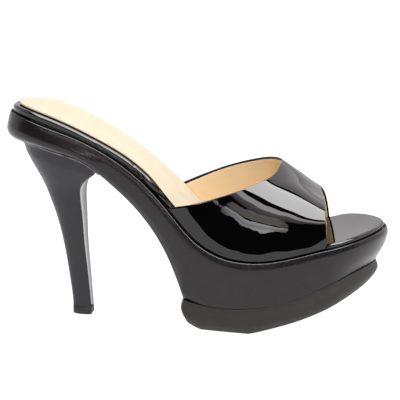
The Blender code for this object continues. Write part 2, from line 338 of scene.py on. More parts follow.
# Upper: stations of its throat and toe edges, from the outer side over the ridge to the inner side
VAMP = table(
    "across throat toe",
    (-1.00, 96.8, 190.9),
    (-0.88, 105.8, 191.0),
    (-0.76, 116.2, 190.7),
    (-0.64, 129.6, 190.3),
    (-0.52, 144.2, 189.8),
    (-0.40, 154.0, 189.1),
    (-0.28, 158.8, 188.2),
    (-0.14, 161.2, 186.7),
    (0.00, 161.4, 184.9),
    (0.14, 159.9, 183.4),
    (0.28, 154.1, 183.2),
    (0.40, 146.3, 183.6),
    (0.52, 135.7, 184.5),
    (0.64, 123.5, 185.3),
    (0.76, 112.1, 186.0),
    (0.88, 102.7, 186.6),
    (1.00, 94.2, 187.3),
)

# The vamp's two layers: how deep each lies under the outer skin
PATENT_LAYER = (0.0, 1.0)
LINING_LAYER = (1.06, UPPER_WALL)

# Lower edge: how far the skin turns under, over what height above the lip, and the lining's reach
VAMP_TUCK = 0.8
VAMP_TUCK_RISE = 2.4
LINING_FOOT = 0.95

# How far each layer stops short of the throat and toe edges, across the vamp
EDGES = table(
    "across patent_toe lining_toe lining_throat",
    (-1.0, 0.15, 0.15, 1.3),
    (-0.2, 0.15, 0.15, 1.3),
    (0.2, 0.0, 1.2, 1.3),
    (1.0, 0.0, 1.2, 1.3),
)

# Soft swellings of the patent: place, reach along and across, and height; the larger ones make the
# mirrored strips run as they do in the photo
WAVES = table(
    "station across long wide height",
    (150.0, -0.60, 16.0, 0.10, 0.10),
    (168.0, -0.50, 14.0, 0.09, -0.08),
    (132.0, -0.74, 14.0, 0.10, -0.10),
    (180.0, -0.66, 10.0, 0.12, 0.08),
    (160.0, -0.82, 18.0, 0.08, 0.12),
    (140.0, 0.60, 16.0, 0.10, 0.10),
    (165.0, 0.55, 14.0, 0.10, -0.09),
    (160.0, -0.30, 13.0, 0.15, -1.00),
    (182.0, -0.30, 13.0, 0.15, 0.85),
    (191.0, -0.30, 13.0, 0.15, 0.55),
    (147.0, -0.20, 8.0, 0.11, -0.10),
    (147.0, -0.32, 8.0, 0.11, -0.15),
    (154.0, -0.10, 8.0, 0.11, -0.14),
    (154.0, -0.20, 8.0, 0.11, -0.47),
    (154.0, -0.32, 8.0, 0.11, -0.44),
    (161.0, -0.10, 8.0, 0.11, -0.47),
    (161.0, -0.20, 8.0, 0.11, -0.59),
    (161.0, -0.32, 8.0, 0.11, -0.28),
    (161.0, -0.44, 8.0, 0.11, 0.12),
    (168.0, -0.10, 8.0, 0.11, -0.33),
    (168.0, -0.20, 8.0, 0.11, -0.23),
    (168.0, -0.32, 8.0, 0.11, 0.08),
    (168.0, -0.44, 8.0, 0.11, -0.10),
    (175.0, -0.20, 8.0, 0.11, -0.07),
    (175.0, -0.44, 8.0, 0.11, 0.14),
    (182.0, -0.32, 8.0, 0.11, 0.22),
    (182.0, -0.44, 8.0, 0.11, 0.62),
    (189.0, -0.32, 8.0, 0.11, 0.06),
    (189.0, -0.44, 8.0, 0.11, 0.20),
)

# Fine ripples in the patent: crests each way per metre of skin, height and phase; and half the
# skin's girth in metres
RIPPLES = table(
    "forward over height phase",
    (62.0, 34.0, 0.012, 0.0),
    (38.0, -70.0, 0.013, 1.9),
    (96.0, 22.0, 0.007, 4.1),
    (24.0, 110.0, 0.008, 2.7),
    (81.0, -96.0, 0.005, 5.2),
)
HALF_GIRTH = 0.062

# Puckers in the footbed's wrap where it turns down into the waist
PUCKERS = table(
    "station side slant long depth",
    (64.0, -1.0, 3.2, 2.4, 0.22),
    (72.0, -1.0, -2.6, 2.2, 0.26),
    (79.0, -1.0, 3.6, 1.9, 0.32),
    (85.0, -1.0, 2.0, 1.6, 0.38),
    (89.5, -1.0, -1.4, 1.2, 0.36),
    (66.0, 1.0, -2.8, 2.3, 0.24),
    (75.0, 1.0, 3.0, 2.0, 0.30),
    (83.0, 1.0, -2.2, 1.7, 0.36),
    (88.5, 1.0, 1.5, 1.3, 0.34),
)

# Mesh density
ROUND_STEPS = 44
MIDDLE_PITCH = 1.5
OUTSOLE_PITCH = 0.7
FOOTBED_PITCH = 0.6
WALL_STEPS = 48
WALL_CROWDING = 1.35
CAP_STEPS = 28
HEEL_CAP_STEPS = 12
FOOT_STEPS = 20
HEEL_RINGS = 110
HEEL_BACK_STEPS = 36
HEEL_SIDE_STEPS = 14
BREAST_STEPS = 14
VAMP_ACROSS = 220
VAMP_ALONG = 110
EDGE_STEPS = 8
LENGTH_STEPS = 60
FRAME_STEP = 1e-3
WELD_METRES = 1e-7
SHARP_EDGE_ANGLE = np.radians(50.0)


def along(rows, column, at):
    """Value of a table's column on a natural cubic through its rows, read by the first column."""
    x = next(iter(rows.values()))
    y = rows[column]
    width = np.diff(x)
    pitch = np.diff(y) / width
    matrix = np.eye(len(x))
    bend = np.zeros(len(x))
    for k in range(1, len(x) - 1):
        matrix[k, k - 1:k + 2] = width[k - 1], 2.0 * (width[k - 1] + width[k]), width[k]
        bend[k] = 6.0 * (pitch[k] - pitch[k - 1])
    bend = np.linalg.solve(matrix, bend)
    at = np.clip(at, x[0], x[-1])
    k = np.clip(np.searchsorted(x, at) - 1, 0, len(x) - 2)
    after = (at - x[k]) / width[k]
    before = 1.0 - after
    arc = (before ** 3 - before) * bend[k] + (after ** 3 - after) * bend[k + 1]
    return before * y[k] + after * y[k + 1] + arc * width[k] ** 2 / 6.0


def ramp(limits, at):
    """Zero before the first limit, one after the second, and smooth between."""
    share = np.clip((at - limits[0]) / (limits[1] - limits[0]), 0.0, 1.0)
    return share * share * (3.0 - 2.0 * share)


# Heights by station

def rim(station):
    return along(PROFILE, "rim", station)


def lip(station):
    return along(PROFILE, "lip", station)


def ledge(station):
    """Bottom of the groove, which carries the footbed and the lower edge of the upper."""
    return lip(station) - GROOVE_DEPTH


def sole_top(station):
    return along(SOLE, "top", station)


def tread(station):
    return np.maximum(along(SOLE, "tread", station), 0.0)


def underside(station):
    """Underside of the platform: the waist runs down until it meets the outsole."""
    return np.maximum(along(WAIST, "under", station), sole_top(station) + SEAT_CLEARANCE)


# Plan outlines

def round_off(plan, station):
    """One along the middle of a plan, falling to zero at its two round ends."""
    behind = np.clip((plan.back + plan.back_round - station) / plan.back_round, 0.0, 1.0)
    ahead = np.clip((station - plan.front + plan.front_round) / plan.front_round, 0.0, 1.0)
    back = (1.0 - behind ** plan.back_power) ** (1.0 / plan.back_power)
    front = (1.0 - ahead ** plan.front_power) ** (1.0 / plan.front_power)
    return back * front


def edge(plan, station, side):
    """Sideways place of a plan's edge; side is -1 on the outer side and +1 on the inner side."""
    half = (along(PLAN, "half_width", station) - plan.inset) * round_off(plan, station)
    return along(PLAN, "middle", station) + side * half


def plan_stations(plan, pitch):
    """Stations from end to end, closer together where the ends turn."""
    turn = 1.0 - np.cos(np.linspace(0.0, np.pi / 2.0, ROUND_STEPS + 1))
    back = plan.back + plan.back_round * turn
    front = plan.front - plan.front_round * turn[::-1]
    steps = round((front[0] - back[-1]) / pitch)
    middle = np.linspace(back[-1], front[0], steps + 1)
    return np.concatenate([back, middle[1:-1], front])


def plan_loop(plan, pitch=MIDDLE_PITCH):
    """Closed loop of points: back, outer side, front, inner side."""
    station = plan_stations(plan, pitch)
    outer = np.column_stack([station, edge(plan, station, -1.0)])
    inner = np.column_stack([station, edge(plan, station, 1.0)])
    return np.concatenate([outer, inner[-2:0:-1]])


def loop_normals(loop):
    ahead = np.roll(loop, -1, axis=0) - np.roll(loop, 1, axis=0)
    ahead = ahead / np.linalg.norm(ahead, axis=1)[:, None]
    return np.column_stack([ahead[:, 1], -ahead[:, 0]])


def pushed_out(loop, out):
    """The loop moved out along its normals; out is a distance, or one for each point."""
    return loop + loop_normals(loop) * np.broadcast_to(out, len(loop))[:, None]


def lifted(loop, height):
    """Points in space over a plan loop, with height a number or one for each point."""
    return np.column_stack([loop, np.broadcast_to(height, len(loop))])


def middle_of_sides():
    """Sideways middle of the whole shoe, which the origin is set to."""
    wall = pushed_out(plan_loop(FOOTBED_PLAN), PLATFORM_WALL["forefoot"].max())
    return 0.5 * (wall[:, 1].min() + wall[:, 1].max())


ORIGIN = np.array([SHOE_LENGTH / 2.0, middle_of_sides(), 0.0])


# Meshes

class Skin:
    """Vertices and faces of one piece while it is being made."""

    def __init__(self):
        self.points = []
        self.faces = []
        self.count = 0

    def add(self, points):
        """Add an array of points and return their numbers in the same shape."""
        points = np.asarray(points, dtype=float)
        shape = points.shape[:-1]
        numbers = np.arange(self.count, self.count + points[..., 0].size).reshape(shape)
        self.points.append(points.reshape(-1, 3))
        self.count += numbers.size
        return numbers

    def quads(self, grid):
        """Faces between the neighbouring rows and columns of a grid of vertex numbers."""
        corners = np.stack([grid[:-1, :-1], grid[:-1, 1:], grid[1:, 1:], grid[1:, :-1]], axis=-1)
        self.faces.extend(corners.reshape(-1, 4).tolist())

    def tube(self, rows):
        """Faces through a stack of closed rows."""
        self.quads(np.concatenate([rows, rows[:, :1]], axis=1))

    def fan(self, tip, row):
        self.faces.extend([tip, a, b] for a, b in zip(row[:-1], row[1:]))

    def cap(self, ring, numbers, across, sunk=None):
        """Close a ring with rungs from side to side; sunk gives the depth of their points."""
        half = len(ring) // 2
        near, far = ring[1:half], ring[:half:-1]
        share = np.linspace(0.0, 1.0, across + 1)[1:-1]
        rungs = near[:, None] + (far - near)[:, None] * share[None, :, None]
        if sunk:
            shares = np.broadcast_to(share, rungs.shape[:2])
            rungs[..., 2] -= sunk(rungs[..., 0], rungs[..., 1], shares)
        inner = self.add(rungs)
        grid = np.concatenate([numbers[1:half, None], inner, numbers[:half:-1, None]], axis=1)
        self.quads(grid)
        self.fan(numbers[0], grid[0])
        self.fan(numbers[half], grid[-1])


def finish(name, skin, material):
    """Turn a closed skin into a smooth-shaded piece."""
    data = bpy.data.meshes.new(name)
    points = (np.concatenate(skin.points) - ORIGIN) * METRES_PER_MM
    data.from_pydata(points.tolist(), [], skin.faces)
    mesh = bmesh.new()
    mesh.from_mesh(data)
    bmesh.ops.remove_doubles(mesh, verts=mesh.verts, dist=WELD_METRES)
    bmesh.ops.recalc_face_normals(mesh, faces=mesh.faces)
    mesh.to_mesh(data)
    mesh.free()
    data.shade_smooth()
    data.set_sharp_from_angle(angle=SHARP_EDGE_ANGLE)
    data.materials.append(material)
    piece = bpy.data.objects.new(name, data)
    bpy.context.collection.objects.link(piece)
    return piece


def ring_solid(name, rings, material, across=CAP_STEPS, bottom=None, top=None):
    """Closed piece through a stack of rings; bottom and top sink the caps."""
    skin = Skin()
    rows = np.stack([skin.add(ring) for ring in rings])
    skin.tube(rows)
    skin.cap(rings[0], rows[0], across, bottom)
    skin.cap(rings[-1], rows[-1], across, top)
    return finish(name, skin, material)


# Finishes

# Where most values of a noise pattern lie
PATTERN_MIDDLE = (0.3, 0.7)

Layer = namedtuple("Layer", "pattern height")


class Finish:
    """A Principled material with procedural layers, laid out in object space."""

    def __init__(self, name, colour, roughness, **sockets):
        self.material = bpy.data.materials.new(name)
        self.material.use_nodes = True
        self.tree = self.material.node_tree
        self.shader = self.tree.nodes["Principled BSDF"]
        self.place = self.tree.nodes.new("ShaderNodeTexCoord").outputs["Object"]
        self.set("Base Color", (*colour, 1.0))
        self.set("Roughness", roughness)
        for socket, value in sockets.items():
            self.set(socket.replace("_", " ").title().replace("Ior", "IOR"), value)

    def set(self, socket, value):
        self.shader.inputs[socket].default_value = value

    def node(self, kind, **inputs):
        made = self.tree.nodes.new("ShaderNode" + kind)
        for name, value in inputs.items():
            socket = made.inputs[name.replace("_", " ")]
            if isinstance(value, bpy.types.NodeSocket):
                self.tree.links.new(value, socket)
            else:
                socket.default_value = value
        return made

    def noise(self, size, detail=2.0):
        """Cloudy pattern whose spots are about size millimetres."""
        scale = 1.0 / (size * METRES_PER_MM)
        return self.node("TexNoise", Vector=self.place, Scale=scale, Detail=detail).outputs["Fac"]

    def cells(self, size):
        """Leather grain: distance from the middle of cells about size millimetres wide."""
        scale = 1.0 / (size * METRES_PER_MM)
        made = self.node("TexVoronoi", Vector=self.place, Scale=scale)
        made.feature = "SMOOTH_F1"
        return made.outputs["Distance"]

    def spread(self, value, low, high):
        """A pattern's middle stretched over the range from low to high."""
        start, end = PATTERN_MIDDLE
        limits = {"From_Min": start, "From_Max": end, "To_Min": low, "To_Max": high}
        return self.node("MapRange", Value=value, **limits).outputs[0]

    def colours(self, value, first, second):
        """Base colour between two tones, following a pattern."""
        made = self.node("ValToRGB", Fac=value)
        for stop, colour, position in zip(
                made.color_ramp.elements, (first, second), PATTERN_MIDDLE):
            stop.color = (*colour, 1.0)
            stop.position = position
        self.tree.links.new(made.outputs[0], self.shader.inputs["Base Color"])

    def roughness(self, value, low, high):
        self.tree.links.new(self.spread(value, low, high), self.shader.inputs["Roughness"])

    def relief(self, *layers):
        """Bump from layers, coarse to fine, with their heights in millimetres."""
        normal = None
        for pattern, height in layers:
            made = self.node("Bump", Height=pattern, Distance=height * METRES_PER_MM, Strength=1.0)
            if normal:
                self.tree.links.new(normal, made.inputs["Normal"])
            normal = made.outputs["Normal"]
        self.tree.links.new(normal, self.shader.inputs["Normal"])
        return normal


def patent_leather(name, colour, coat=1.5):
    made = Finish(
        name, colour, roughness=0.35, specular_ior_level=0.0,
        coat_weight=1.0, coat_roughness=0.02, coat_ior=coat)
    normal = made.relief(
        Layer(made.noise(size=7.0, detail=1.0), height=0.02),
        Layer(made.noise(size=2.4, detail=1.0), height=0.004))
    made.tree.links.new(normal, made.shader.inputs["Coat Normal"])
    made.roughness(made.noise(size=3.0), low=0.3, high=0.4)
    return made.material


def matte_leather(name, dark, light, rough, gloss):
    made = Finish(name, dark, rough[0], specular_ior_level=gloss)
    made.colours(made.noise(size=6.0, detail=4.0), dark, light)
    made.roughness(made.noise(size=2.5, detail=3.0), *rough)
    made.relief(
        Layer(made.noise(size=5.0), height=0.03), Layer(made.cells(size=0.7), height=0.04))
    return made.material


def nude_leather(name, first, second):
    made = Finish(
        name, first, roughness=0.5, specular_ior_level=0.15,
        sheen_weight=0.04, sheen_roughness=0.4)
    made.colours(made.noise(size=9.0, detail=4.0), first, second)
    made.roughness(made.noise(size=2.0, detail=3.0), low=0.45, high=0.6)
    made.relief(
        Layer(made.noise(size=6.0), height=0.03), Layer(made.cells(size=0.5), height=0.03))
    return made.material


PATENT = patent_leather("patent_vamp", (0.0012, 0.001, 0.0012))
FOOTBED_PATENT = patent_leather("patent_footbed", (0.0018, 0.0016, 0.0018))
PLATFORM_LEATHER = matte_leather(
    "platform_leather", dark=(0.0105, 0.0083, 0.0086), light=(0.0135, 0.011, 0.0113),
    rough=(0.19, 0.26), gloss=0.36)
SOLE_RUBBER = matte_leather(
    "sole_rubber", dark=(0.021, 0.017, 0.0172), light=(0.026, 0.0215, 0.0213),
    rough=(0.5, 0.6), gloss=0.35)
HEEL_SATIN = matte_leather(
    "heel_satin", dark=(0.018, 0.0165, 0.021), light=(0.021, 0.0195, 0.0245),
    rough=(0.28, 0.36), gloss=0.35)
TIP_RUBBER = matte_leather(
    "tip_rubber", dark=(0.018, 0.018, 0.020), light=(0.023, 0.023, 0.026),
    rough=(0.5, 0.6), gloss=0.35)
SOCK_LEATHER = nude_leather("sock_leather", (0.75, 0.655, 0.485), (0.79, 0.70, 0.525))
LINING_LEATHER = nude_leather("lining_leather", (0.86, 0.63, 0.37), (0.90, 0.68, 0.42))
# Pale grey on the heel's seat bead: a painted highlight along the seam
PAINTED_SEAM_HIGHLIGHT = matte_leather(
    "painted_seam_highlight", dark=(0.05, 0.048, 0.05), light=(0.32, 0.31, 0.32),
    rough=(0.4, 0.5), gloss=0.4)
HEEL_BREAST = patent_leather("heel_breast", (0.02, 0.019, 0.021), coat=1.9)


# Pieces

def platform():
    loop = plan_loop(FOOTBED_PLAN)
    station = loop[:, 0]
    rings = [lifted(pushed_out(loop, out), lip(station) - below)
             for out, below in zip(*PLATFORM_LIP.values())]
    to_waist = ramp(HEEL_TO_WAIST, station)
    to_forefoot = ramp(WAIST_TO_FOREFOOT, station)
    start = PLATFORM_WALL["share"][0]
    for share in start + (1.0 - start) * np.linspace(0.0, 1.0, WALL_STEPS) ** WALL_CROWDING:
        heel, waist, forefoot = (
            along(PLATFORM_WALL, zone, share) for zone in ("heel", "waist", "forefoot"))
        back = heel + (waist - heel) * to_waist
        draw = TOE_DRAW * ramp(DRAW_STATIONS, station) * ramp(DRAW_SHARES, share)
        below = share * (lip(station) - underside(station))
        setback = LIP_SETBACK * (1.0 - ramp(SETBACK_BELOW, below))
        wall = pushed_out(loop, back + (forefoot - back) * to_forefoot - draw - setback)
        at = wall[:, 0]
        rings.append(lifted(wall, lip(at) + share * (underside(at) - lip(at))))
    return ring_solid("platform_cover", rings, PLATFORM_LEATHER)


def outsole():
    loop = plan_loop(OUTSOLE_PLAN, OUTSOLE_PITCH)
    rings = []
    for share in np.linspace(0.0, 1.0, WALL_STEPS):
        wall = pushed_out(loop, along(OUTSOLE_WALL, "out", share))
        at = wall[:, 0]
        top = sole_top(at) + SEAM_RISE * ramp(SEAM_CLOSES, at)
        rings.append(lifted(wall, top + share * (tread(at) - top)))
    return ring_solid("outsole_unit", rings, SOLE_RUBBER, top=tread_grooves)


def tread_grooves(station, sideways, share):
    """How far the tread dips, below zero because its grooves go up into the sole."""
    bow = sideways ** 2 / TREAD_BOW
    wave = np.cos(2.0 * np.pi * (station - bow) / TREAD_PITCH)
    fade = 1.0 - (2.0 * share - 1.0) ** TREAD_FADE
    return -TREAD_DEPTH * fade * ramp(TREAD_EDGE, wave)


def heel_cup(station, _sideways, share):
    """How far the footbed is dished, deepest in its middle, from the heel to the ball."""
    depth = HEEL_CUP * ramp(CUP_STARTS, station) * (1.0 - ramp(CUP_FADES, station))
    return depth * (1.0 - (2.0 * share - 1.0) ** 2)


def footbed_dish(station, sideways, share):
    """The heel's cup and a shallow dish in the open toe."""
    toe = TOE_DISH * ramp(DISH_STARTS, station) * (1.0 - ramp(DISH_FADES, station))
    return heel_cup(station, sideways, share) + toe * (1.0 - (2.0 * share - 1.0) ** 2)


def pucker_depth(station, side, height):
    """How far the wrap is drawn in; height is in millimetres up from the footbed's foot."""
    depth = np.zeros_like(station)
    for at, on, slant, long, deep in zip(*PUCKERS.values()):
        offset = (station - at - slant * height) / long
        depth += np.where(side == on, deep * np.exp(-offset ** 2), 0.0)
    return depth


def footbed():
    loop = plan_loop(FOOTBED_PLAN, FOOTBED_PITCH)
    station = loop[:, 0]
    side = np.sign(loop[:, 1] - along(PLAN, "middle", station))
    tucked = FOOTBED_TUCK * np.interp(station, *VAMP_COVER.values())

    def row(out, level):
        """One ring of the wrap, so far out and at a level for each point."""
        drawn = pucker_depth(station, side, level - ledge(station))
        moved = pushed_out(loop, out - tucked - drawn)
        return lifted(moved, level + rim(moved[:, 0]) - rim(station))

    foot = ledge(station) + SEAT_CLEARANCE
    crisp = 1.0 + (TOE_EDGE - 1.0) * ramp(TOE_EDGE_STATIONS, station)
    wall = rim(station) - FOOTBED_EDGE["below"][0] * crisp - foot
    shares = np.linspace(0.0, 1.0, FOOT_STEPS)[:-1]
    rings = [row(np.interp(share, *FOOTBED_FOOT.values()), foot + wall * share)
             for share in shares]
    rings += [row(out * crisp, rim(station) - below * crisp)
              for out, below in zip(*FOOTBED_EDGE.values())]
    return ring_solid("footbed_wrap", rings, FOOTBED_PATENT, top=footbed_dish)


def insole():
    loop = plan_loop(INSOLE_PLAN)
    station = loop[:, 0]
    under_vamp = ramp(INSOLE_WIDENS, station) * (1.0 - ramp(INSOLE_NARROWS, station))
    loop = pushed_out(loop, INSOLE_REACH * under_vamp)
    rings = []
    for out, above in zip(*INSOLE_EDGE.values()):
        wall = pushed_out(loop, out)
        rings.append(lifted(wall, rim(wall[:, 0]) + SEAT_CLEARANCE + above))
    return ring_solid("insole_sock", rings, SOCK_LEATHER, bottom=heel_cup, top=heel_cup)


def heel_plan(level):
    """Closed plan loop of the heel at a level of its table, round behind and hollow in front."""
    back, front, half, hollow = (
        along(HEEL, name, level) for name in ("back", "front", "half", "hollow"))
    hollow = hollow * BREAST_HOLLOW
    widest = back + HEEL_WIDEST * (front - back)
    turn = np.linspace(0.0, np.pi / 2.0, HEEL_BACK_STEPS + 1)
    behind = np.column_stack([widest - (widest - back) * np.cos(turn), half * np.sin(turn)])
    share = np.linspace(0.0, 1.0, HEEL_SIDE_STEPS + 1)[1:]
    reach = front - hollow - widest
    narrowed = half * (1.0 - (1.0 - BREAST_SIDE) * share ** 2)
    ahead = np.column_stack([widest + reach * share, narrowed])
    corner = np.array([[front, half * BREAST_CORNER]])
    inward = np.linspace(1.0, 0.0, BREAST_STEPS + 1)[1:]
    breast = np.column_stack([front - hollow * (1.0 - inward ** 2), corner[0, 1] * inward])
    side = np.concatenate([behind, ahead, corner, breast])
    outer = side * np.array([1.0, -1.0])
    return np.concatenate([outer, side[-2:0:-1]])


def heel():
    rings = []
    for level in np.linspace(0.0, HEEL["level"][-1], HEEL_RINGS):
        back, back_z, front, front_z = (
            along(HEEL, name, level) for name in ("back", "back_z", "front", "front_z"))
        loop = heel_plan(level)
        at = loop[:, 0]
        plane = back_z + (front_z - back_z) * (at - back) / (front - back)
        seat = underside(at) - SEAT_CLEARANCE
        body_top = seat - HEEL_BEAD["below"][0]
        rings.append(lifted(loop, plane + (body_top - plane) * ramp(HEEL_SEATS, level)))
    # The bead goes round the last section, from its second row on
    for out, below in list(zip(*HEEL_BEAD.values()))[1:]:
        rings.append(lifted(pushed_out(loop, out), seat - below))
    made = ring_solid("heel_cover", rings, HEEL_SATIN, HEEL_CAP_STEPS)
    materials = made.data.materials
    materials.append(HEEL_BREAST)
    materials.append(PAINTED_SEAM_HIGHLIGHT)
    for face in made.data.polygons:
        at = ORIGIN + np.array(face.center) / METRES_PER_MM
        below = underside(at[0]) - SEAT_CLEARANCE - at[2]
        # Faces of the bead just under the seat take the pale grey, a painted highlight along the
        # seam
        if SEAM_HIGHLIGHT_STARTS < below < HEEL_BEAD["below"][0]:
            face.material_index = materials.find(PAINTED_SEAM_HIGHLIGHT.name)
        elif face.normal.x > BREAST_FACING and abs(face.normal.z) < BREAST_FACING:
            face.material_index = materials.find(HEEL_BREAST.name)
    return made


def heel_tip():
    loop = heel_plan(0.0)
    rings = [lifted(pushed_out(loop, out), height)
             for out, height in zip(*HEEL_TIP_EDGE.values())]
    return ring_solid("heel_top_lift", rings, TIP_RUBBER, HEEL_CAP_STEPS)


def vamp_section(station, across):
    """Point of the outer skin; across runs from -1 on the outer side to +1 on the inner side."""
    base = ledge(station) + SEAT_CLEARANCE
    outer = edge(FOOTBED_PLAN, station, -1.0) - UPPER_EDGE
    inner = edge(FOOTBED_PLAN, station, 1.0) + UPPER_EDGE
    turn = across * np.pi / 2.0
    fullness = along(RIDGE, "fullness", station)
    shoulder = along(RIDGE, "shoulder", station) * (1.0 - across) / 2.0
    swing = (1.0 + fullness) * np.sin(turn) + fullness * np.sin(3.0 * turn)
    lift = (1.0 + shoulder) * np.cos(turn) - shoulder * np.cos(3.0 * turn)
    sideways = (outer + inner) / 2.0 + swing * (inner - outer) / 2.0
    sideways = sideways + along(RIDGE, "lean", station) * np.cos(turn) ** 2
    z = base + (along(RIDGE, "height", station) - base) * lift
    return np.stack([station, sideways, z], axis=-1)


def vamp_point(across, share):
    """Outer skin by across and by share of the way from the throat edge to the toe edge."""
    throat = along(VAMP, "throat", across)
    return vamp_section(throat + (along(VAMP, "toe", across) - throat) * share, across)


def unit(vectors):
    return vectors / np.linalg.norm(vectors, axis=-1)[..., None]


def vamp_frame(point_of, across, share):
    """Points of a skin with their outward normals and their directions towards the toe."""
    forward = unit(point_of(across, share + FRAME_STEP) - point_of(across, share - FRAME_STEP))
    over = point_of(across + FRAME_STEP, share) - point_of(across - FRAME_STEP, share)
    return point_of(across, share), unit(np.cross(forward, over)), forward


def waved_point(across, share):
    """Outer skin with its swellings and ripples, turned under at its lower edge."""
    point, normal, _ = vamp_frame(vamp_point, across, share)
    height = np.zeros_like(across)
    for station, at, long, wide, high in zip(*WAVES.values()):
        run = ((point[..., 0] - station) / long) ** 2 + ((across - at) / wide) ** 2
        height += high * np.exp(-run)
    for forward, over, high, phase in zip(*RIPPLES.values()):
        turns = forward * point[..., 0] * METRES_PER_MM + over * across * HALF_GIRTH
        height += high * np.sin(2.0 * np.pi * turns + phase)
    above = np.clip((point[..., 2] - lip(point[..., 0])) / VAMP_TUCK_RISE, 0.0, 1.0)
    height -= VAMP_TUCK * (1.0 - above) ** 2
    return point + normal * height[..., None]


def vamp_shell(name, material, layer, throat_inset, toe_inset, foot=1.0):
    """Closed shell between two depths under the outer skin, with rolled throat and toe edges."""
    line = np.linspace(-foot, foot, VAMP_ACROSS + 1)
    path = vamp_point(*np.meshgrid(line, np.linspace(0.0, 1.0, LENGTH_STEPS), indexing="ij"))
    length = np.linalg.norm(np.diff(path, axis=1), axis=-1).sum(axis=1)
    roll = (layer[1] - layer[0]) / 2.0
    start = (throat_inset(line) + roll) / length
    stop = 1.0 - (toe_inset(line) + roll) / length
    ease = np.linspace(0.0, 1.0, VAMP_ALONG + 1)
    share = start[:, None] + (stop - start)[:, None] * ease
    across = np.broadcast_to(line[:, None], share.shape)
    point, normal, forward = vamp_frame(waved_point, across, share)
    outside = point - normal * layer[0]
    inside = point - normal * layer[1]
    middle = (outside + inside) / 2.0
    turn = np.linspace(0.0, np.pi, EDGE_STEPS + 1)[1:-1, None]

    def rolled(column, towards):
        up, out = normal[:, column, None], forward[:, column, None] * towards
        return middle[:, column, None] + roll * (np.cos(turn) * up + np.sin(turn) * out)

    toe_edge = rolled(-1, 1.0)
    throat_edge = rolled(0, -1.0)[:, ::-1]
    skin = Skin()
    blocks = [skin.add(block) for block in (outside, toe_edge, inside[:, ::-1], throat_edge)]
    rows = np.concatenate(blocks, axis=1)
    skin.tube(rows)
    for end in (0, -1):
        outer, toe, inner, throat = (block[end] for block in blocks)
        skin.quads(np.stack([outer, inner[::-1]]))
        skin.faces.append([outer[-1], *toe, inner[0]])
        skin.faces.append([inner[-1], *throat, outer[0]])
    return finish(name, skin, material)


def inset(column):
    """How far a layer stops short of an edge, as a function of the place across the vamp."""
    return lambda across: np.interp(across, EDGES["across"], EDGES[column])


def vamp_patent():
    return vamp_shell("vamp_patent", PATENT, PATENT_LAYER, np.zeros_like, inset("patent_toe"))


def vamp_lining():
    return vamp_shell(
        "vamp_lining", LINING_LEATHER, LINING_LAYER,
        inset("lining_throat"), inset("lining_toe"), LINING_FOOT)


PIECES = [
    (platform, "platform", "platform"),
    (outsole, "outsole", "outsole"),
    (heel, "heel", "heel"),
    (heel_tip, "heel_tip", "heel_tip"),
    (footbed, "footbed", "footbed"),
    (insole, "insole", "insole"),
    (vamp_patent, "upper", "upper"),
    (vamp_lining, "upper", "upper"),
]
for make, node, slot in PIECES:
    made = make()
    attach(made, "root")
    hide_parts(node)


# Studio, in metres

FLOOR_FRONT = -0.95
FLOOR_BACK = 6.0
FLOOR_SIDE = 4.0
FLOOR_GLOW = 1.0
FLOOR_GREY = (0.3, 0.3, 0.3)
FLOOR_ROUGHNESS = 0.9
WHITE = (1.0, 1.0, 1.0)
BLACK = (0.0, 0.0, 0.0)
STRIP_TINT = (1.0, 0.945, 0.935)
VAMP_CENTRE = Vector((0.05, -0.02, 0.075))
WATTS_PER_AREA = 4.0

# The room: a glowing backdrop that leans over the object, and a dark side towards the camera
BACKDROP_GLOW = 0.88
BACKDROP_LEAN = 0.3
BACKDROP_EDGE = (-0.1, 0.1)
HORIZON = (-0.03, 0.0)
DARK_SIDE_GLOW = 0.015
SEEN_GLOW = 1.2
ROOM_TINT = (1.0, 0.965, 0.97)

# Camera at the photo's angle
TARGET = Vector((0.00215, 0.0, 0.071))
CAMERA_AZIMUTH = np.radians(8.0)
CAMERA_ELEVATION = np.radians(12.5)
CAMERA_DISTANCE = 1.1
LENS = 169.3
SENSOR = 36.0


def direction(azimuth, elevation):
    """Towards a place seen from the object: azimuth from -Y towards +X, then elevation."""
    flat = np.cos(elevation)
    return Vector((np.sin(azimuth) * flat, -np.cos(azimuth) * flat, np.sin(elevation)))


def floor():
    data = bpy.data.meshes.new("floor")
    corners = [(-FLOOR_SIDE, FLOOR_FRONT, 0.0), (FLOOR_SIDE, FLOOR_FRONT, 0.0),
               (FLOOR_SIDE, FLOOR_BACK, 0.0), (-FLOOR_SIDE, FLOOR_BACK, 0.0)]
    data.from_pydata(corners, [], [(0, 1, 2, 3)])
    paint = Finish(
        "floor_paint", FLOOR_GREY, FLOOR_ROUGHNESS, specular_ior_level=0.0,
        emission_strength=FLOOR_GLOW, emission_color=(*WHITE, 1.0))
    data.materials.append(paint.material)
    made = bpy.data.objects.new("floor", data)
    bpy.context.collection.objects.link(made)


def fill(name, place, size, glow, facing=None):
    """Area lamp that no gloss mirrors, facing down or towards a point."""
    data = bpy.data.lights.new(name, "AREA")
    data.shape = "RECTANGLE"
    data.size, data.size_y = size
    data.energy = WATTS_PER_AREA * size[0] * size[1] * glow
    made = bpy.data.objects.new(name, data)
    made.location = place
    if facing:
        made.rotation_euler = (facing - place).to_track_quat("-Z", "Y").to_euler()
    made.visible_camera = made.visible_glossy = False
    bpy.context.collection.objects.link(made)


